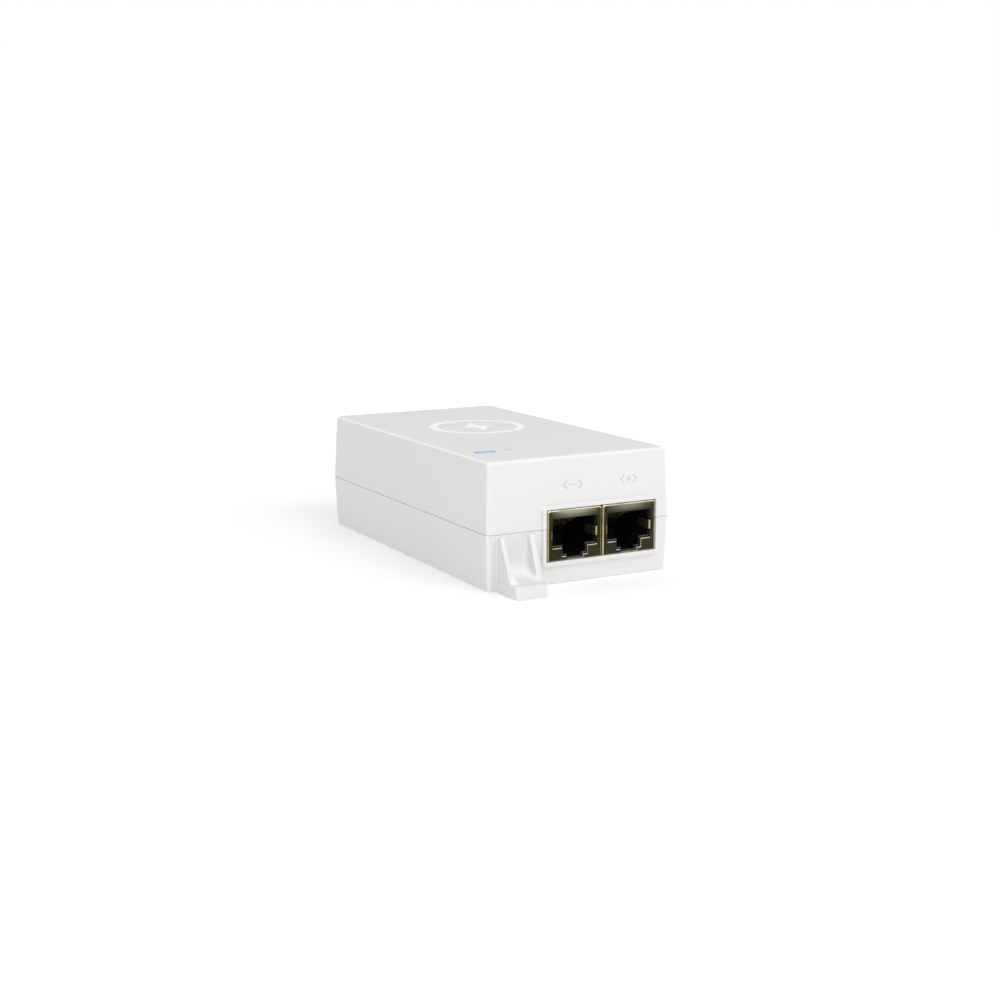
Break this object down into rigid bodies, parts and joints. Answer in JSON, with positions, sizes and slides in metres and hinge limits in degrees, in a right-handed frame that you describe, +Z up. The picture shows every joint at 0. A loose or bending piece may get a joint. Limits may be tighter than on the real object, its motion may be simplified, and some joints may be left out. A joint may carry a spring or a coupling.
{
  "type": "PoE injector",
  "caption": "Compact mains-fed injector that puts power onto a network cable: shielded data and power jacks in front, appliance inlet behind, corner fixing ears and a status light.",
  "frame": {"origin": "middle of the flat base, which lies on Z = 0", "axes": "+Z up, -Y towards the jack side, +X to the right when the jacks are faced; the mains inlet is at +Y"},
  "size_m": [0.0532, 0.1156, 0.032],
  "materials": {
    "shell_plastic": "fine spark-eroded satin, light grey-white",
    "shield_metal": "nickel-plated sheet with a warm brassy cast",
    "insert_plastic": "black glass-filled moulding",
    "contact_gold": "gold-plated spring wire",
    "tab_metal": "nickel-brass spring sheet",
    "light_pipe": "clear blue-lit polycarbonate",
    "led_body": "white emitter package",
    "screw_steel": "zinc-plated steel",
    "board_laminate": "green solder mask over glass laminate",
    "insulation_film": "translucent insulating film",
    "inlet_plastic": "black satin moulding",
    "pin_metal": "nickel-plated brass blades",
    "ferrite": "dark sintered ferrite",
    "winding_tape": "yellow polyester tape over the winding",
    "copper_wire": "enamelled copper wire",
    "capacitor_sleeve": "dark blue shrink sleeve with a bare aluminium top",
    "film_capacitor": "ochre moulded box",
    "disc_coating": "blue epoxy dip",
    "thermistor_coating": "dark green coating",
    "epoxy_package": "black moulded package",
    "heatsink_metal": "bare rolled aluminium"
  },
  "bodies": {
    "case_body": {"top_cover": "shell_plastic", "bottom_case": "shell_plastic", "lan_shield": "shield_metal", "poe_shield": "shield_metal", "lan_housing": "insert_plastic", "poe_housing": "insert_plastic", "lan_contact_carrier": "insert_plastic", "poe_contact_carrier": "insert_plastic", "light_pipe": "light_pipe", "status_led": "led_body", "case_screw_1": "screw_steel", "case_screw_2": "screw_steel", "case_screw_3": "screw_steel", "case_screw_4": "screw_steel", "main_board": "board_laminate", "insulation_sheet": "insulation_film", "ac_inlet_housing": "inlet_plastic", "ac_pin_line": "pin_metal", "ac_pin_neutral": "pin_metal", "ac_pin_earth": "pin_metal", "choke_core": "ferrite", "transformer_core": "ferrite", "transformer_winding": "winding_tape", "choke_winding_1": "copper_wire", "choke_winding_2": "copper_wire", "bulk_capacitor": "capacitor_sleeve", "output_capacitor_1": "capacitor_sleeve", "output_capacitor_2": "capacitor_sleeve", "x_capacitor": "film_capacitor", "y_capacitor": "disc_coating", "inrush_thermistor": "thermistor_coating", "input_fuse": "epoxy_package", "bridge_rectifier": "epoxy_package", "switching_transistor": "epoxy_package", "pwm_controller": "epoxy_package", "optocoupler": "epoxy_package", "output_rectifier": "epoxy_package", "lan_magnetics": "epoxy_package", "primary_heatsink": "heatsink_metal", "secondary_heatsink": "heatsink_metal"},
    "lan_contacts": {"lan_contact_1": "contact_gold", "lan_contact_2": "contact_gold", "lan_contact_3": "contact_gold", "lan_contact_4": "contact_gold", "lan_contact_5": "contact_gold", "lan_contact_6": "contact_gold", "lan_contact_7": "contact_gold", "lan_contact_8": "contact_gold"},
    "lan_tab_left": {"lan_ground_tab_left": "tab_metal"},
    "lan_tab_right": {"lan_ground_tab_right": "tab_metal"},
    "poe_contacts": {"poe_contact_1": "contact_gold", "poe_contact_2": "contact_gold", "poe_contact_3": "contact_gold", "poe_contact_4": "contact_gold", "poe_contact_5": "contact_gold", "poe_contact_6": "contact_gold", "poe_contact_7": "contact_gold", "poe_contact_8": "contact_gold"},
    "poe_tab_left": {"poe_ground_tab_left": "tab_metal"},
    "poe_tab_right": {"poe_ground_tab_right": "tab_metal"}
  },
  "joints": [
    {"name": "lan_contacts_flex", "type": "hinge", "parent": "case_body", "child": "lan_contacts", "pos_m": [-0.002, -0.045, 0.0165], "axis": [1, 0, 0], "range_deg": [0, 10], "stiffness_Nm_per_rad": 0.5},
    {"name": "lan_tab_left_flex", "type": "hinge", "parent": "case_body", "child": "lan_tab_left", "pos_m": [-0.0086, -0.0481, 0.01243], "axis": [0, 0, 1], "range_deg": [0, 5], "stiffness_Nm_per_rad": 0.05},
    {"name": "lan_tab_right_flex", "type": "hinge", "parent": "case_body", "child": "lan_tab_right", "pos_m": [0.0046, -0.0481, 0.01243], "axis": [0, 0, -1], "range_deg": [0, 5], "stiffness_Nm_per_rad": 0.05},
    {"name": "poe_contacts_flex", "type": "hinge", "parent": "case_body", "child": "poe_contacts", "pos_m": [0.014, -0.045, 0.0165], "axis": [1, 0, 0], "range_deg": [0, 10], "stiffness_Nm_per_rad": 0.5},
    {"name": "poe_tab_left_flex", "type": "hinge", "parent": "case_body", "child": "poe_tab_left", "pos_m": [0.0074, -0.0481, 0.01243], "axis": [0, 0, 1], "range_deg": [0, 5], "stiffness_Nm_per_rad": 0.05},
    {"name": "poe_tab_right_flex", "type": "hinge", "parent": "case_body", "child": "poe_tab_right", "pos_m": [0.0206, -0.0481, 0.01243], "axis": [0, 0, -1], "range_deg": [0, 5], "stiffness_Nm_per_rad": 0.05}
  ]
}
